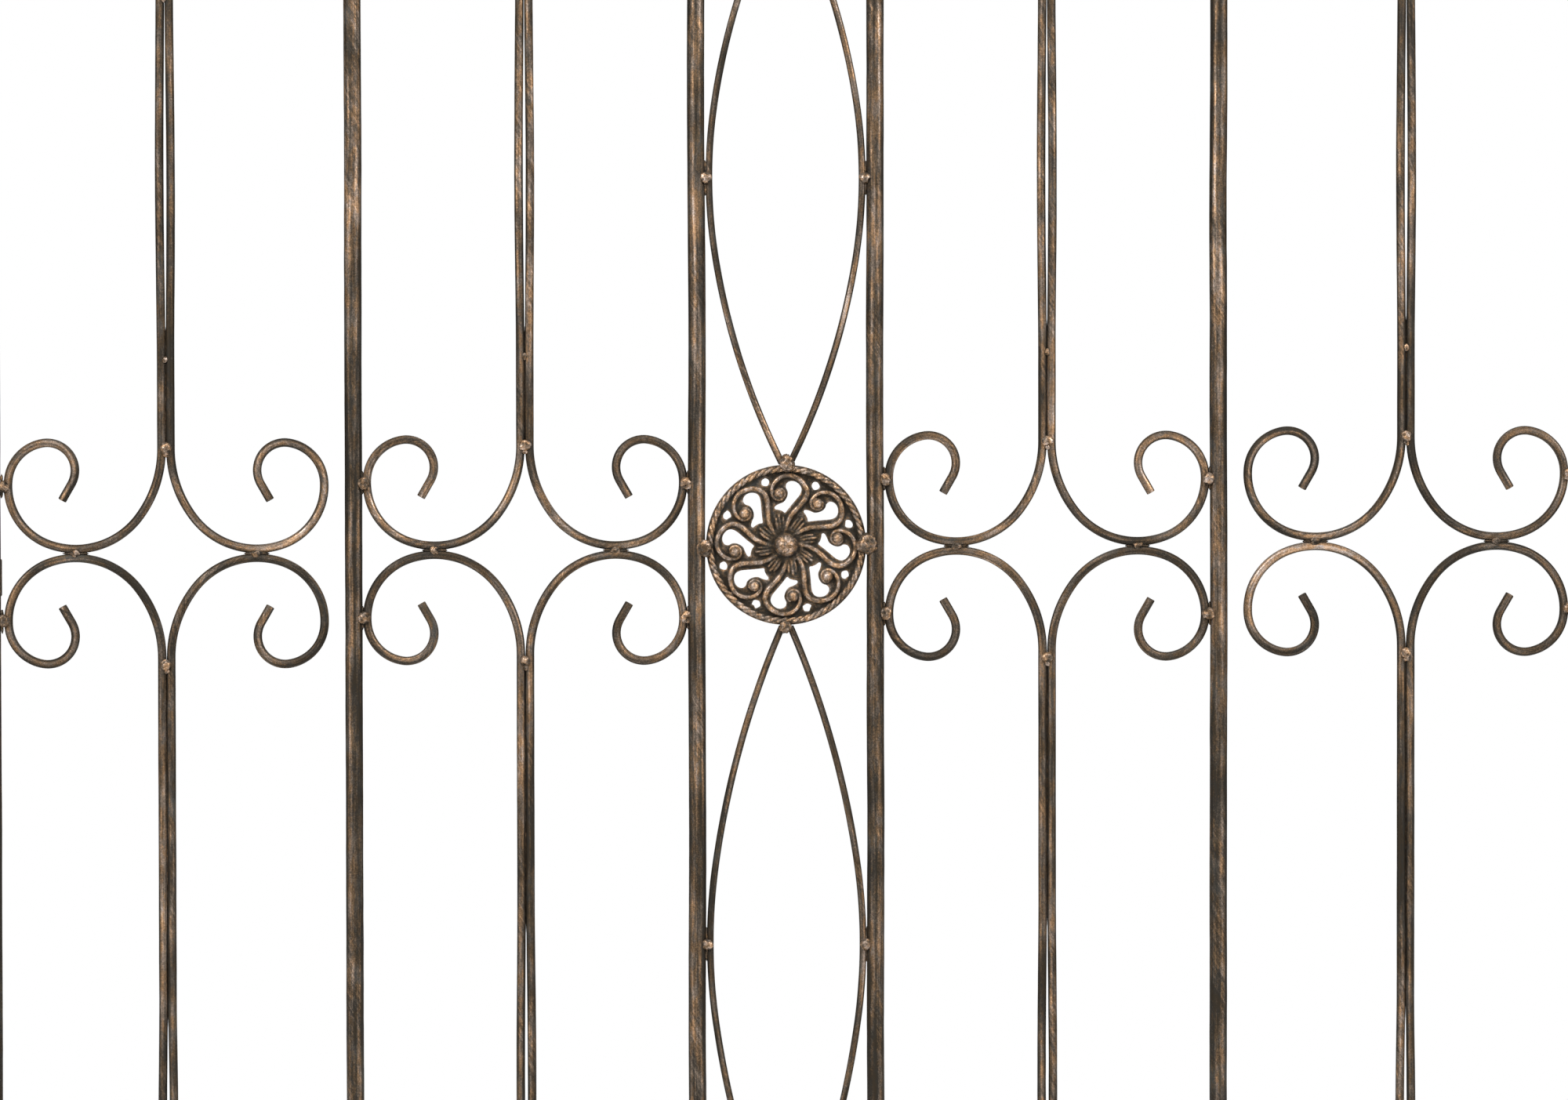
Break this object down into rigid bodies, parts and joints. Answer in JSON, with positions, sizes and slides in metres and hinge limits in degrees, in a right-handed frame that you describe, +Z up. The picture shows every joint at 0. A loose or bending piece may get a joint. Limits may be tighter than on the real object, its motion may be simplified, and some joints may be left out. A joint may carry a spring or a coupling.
{
  "type": "window security grille",
  "caption": "Fixed window security grille: round bars between square rails, paired rods bent into scrolls, bow rods and a pierced cast rosette, in antique bronze.",
  "frame": {"origin": "centre of the pattern of the four corner wall holes, on the wall plane, which is the back face of the lugs", "axes": "+X along the width to the viewer's right, +Z up, and the front of the grille faces -Y"},
  "size_m": [1.23, 0.0205, 1.022],
  "materials": {
    "bars": "antique bronze paint, dark base with brushed copper highlights",
    "rods": "antique bronze paint, dark base with brushed copper highlights",
    "rosette": "antique bronze paint, rubbed bright on the raised ornament",
    "welds": "antique bronze paint over lumpy weld beads, rubbed bright",
    "lugs": "antique bronze paint, dark"
  },
  "bodies": {
    "root": {"outer_bar_left": "bars", "middle_bar_left": "bars", "inner_bar_left": "bars", "inner_bar_right": "bars", "middle_bar_right": "bars", "outer_bar_right": "bars", "top_rail": "bars", "bottom_rail": "bars", "panel_1_scroll_upper_left": "rods", "panel_1_scroll_upper_right": "rods", "panel_1_scroll_lower_left": "rods", "panel_1_scroll_lower_right": "rods", "panel_2_scroll_upper_left": "rods", "panel_2_scroll_upper_right": "rods", "panel_2_scroll_lower_left": "rods", "panel_2_scroll_lower_right": "rods", "panel_3_scroll_upper_left": "rods", "panel_3_scroll_upper_right": "rods", "panel_3_scroll_lower_left": "rods", "panel_3_scroll_lower_right": "rods", "panel_4_scroll_upper_left": "rods", "panel_4_scroll_upper_right": "rods", "panel_4_scroll_lower_left": "rods", "panel_4_scroll_lower_right": "rods", "bow_rod_upper_left": "rods", "bow_rod_upper_right": "rods", "bow_rod_lower_left": "rods", "bow_rod_lower_right": "rods", "rosette": "rosette", "wall_lug_top_left": "lugs", "wall_lug_middle_left": "lugs", "wall_lug_bottom_left": "lugs", "wall_lug_top_right": "lugs", "wall_lug_middle_right": "lugs", "wall_lug_bottom_right": "lugs", "bar_end_welds": "welds", "rod_end_welds": "welds", "pair_welds": "welds", "crossing_welds": "welds", "scroll_to_bar_welds": "welds", "bow_welds": "welds", "rosette_welds": "welds", "lug_welds": "welds"}
  },
  "joints": []
}
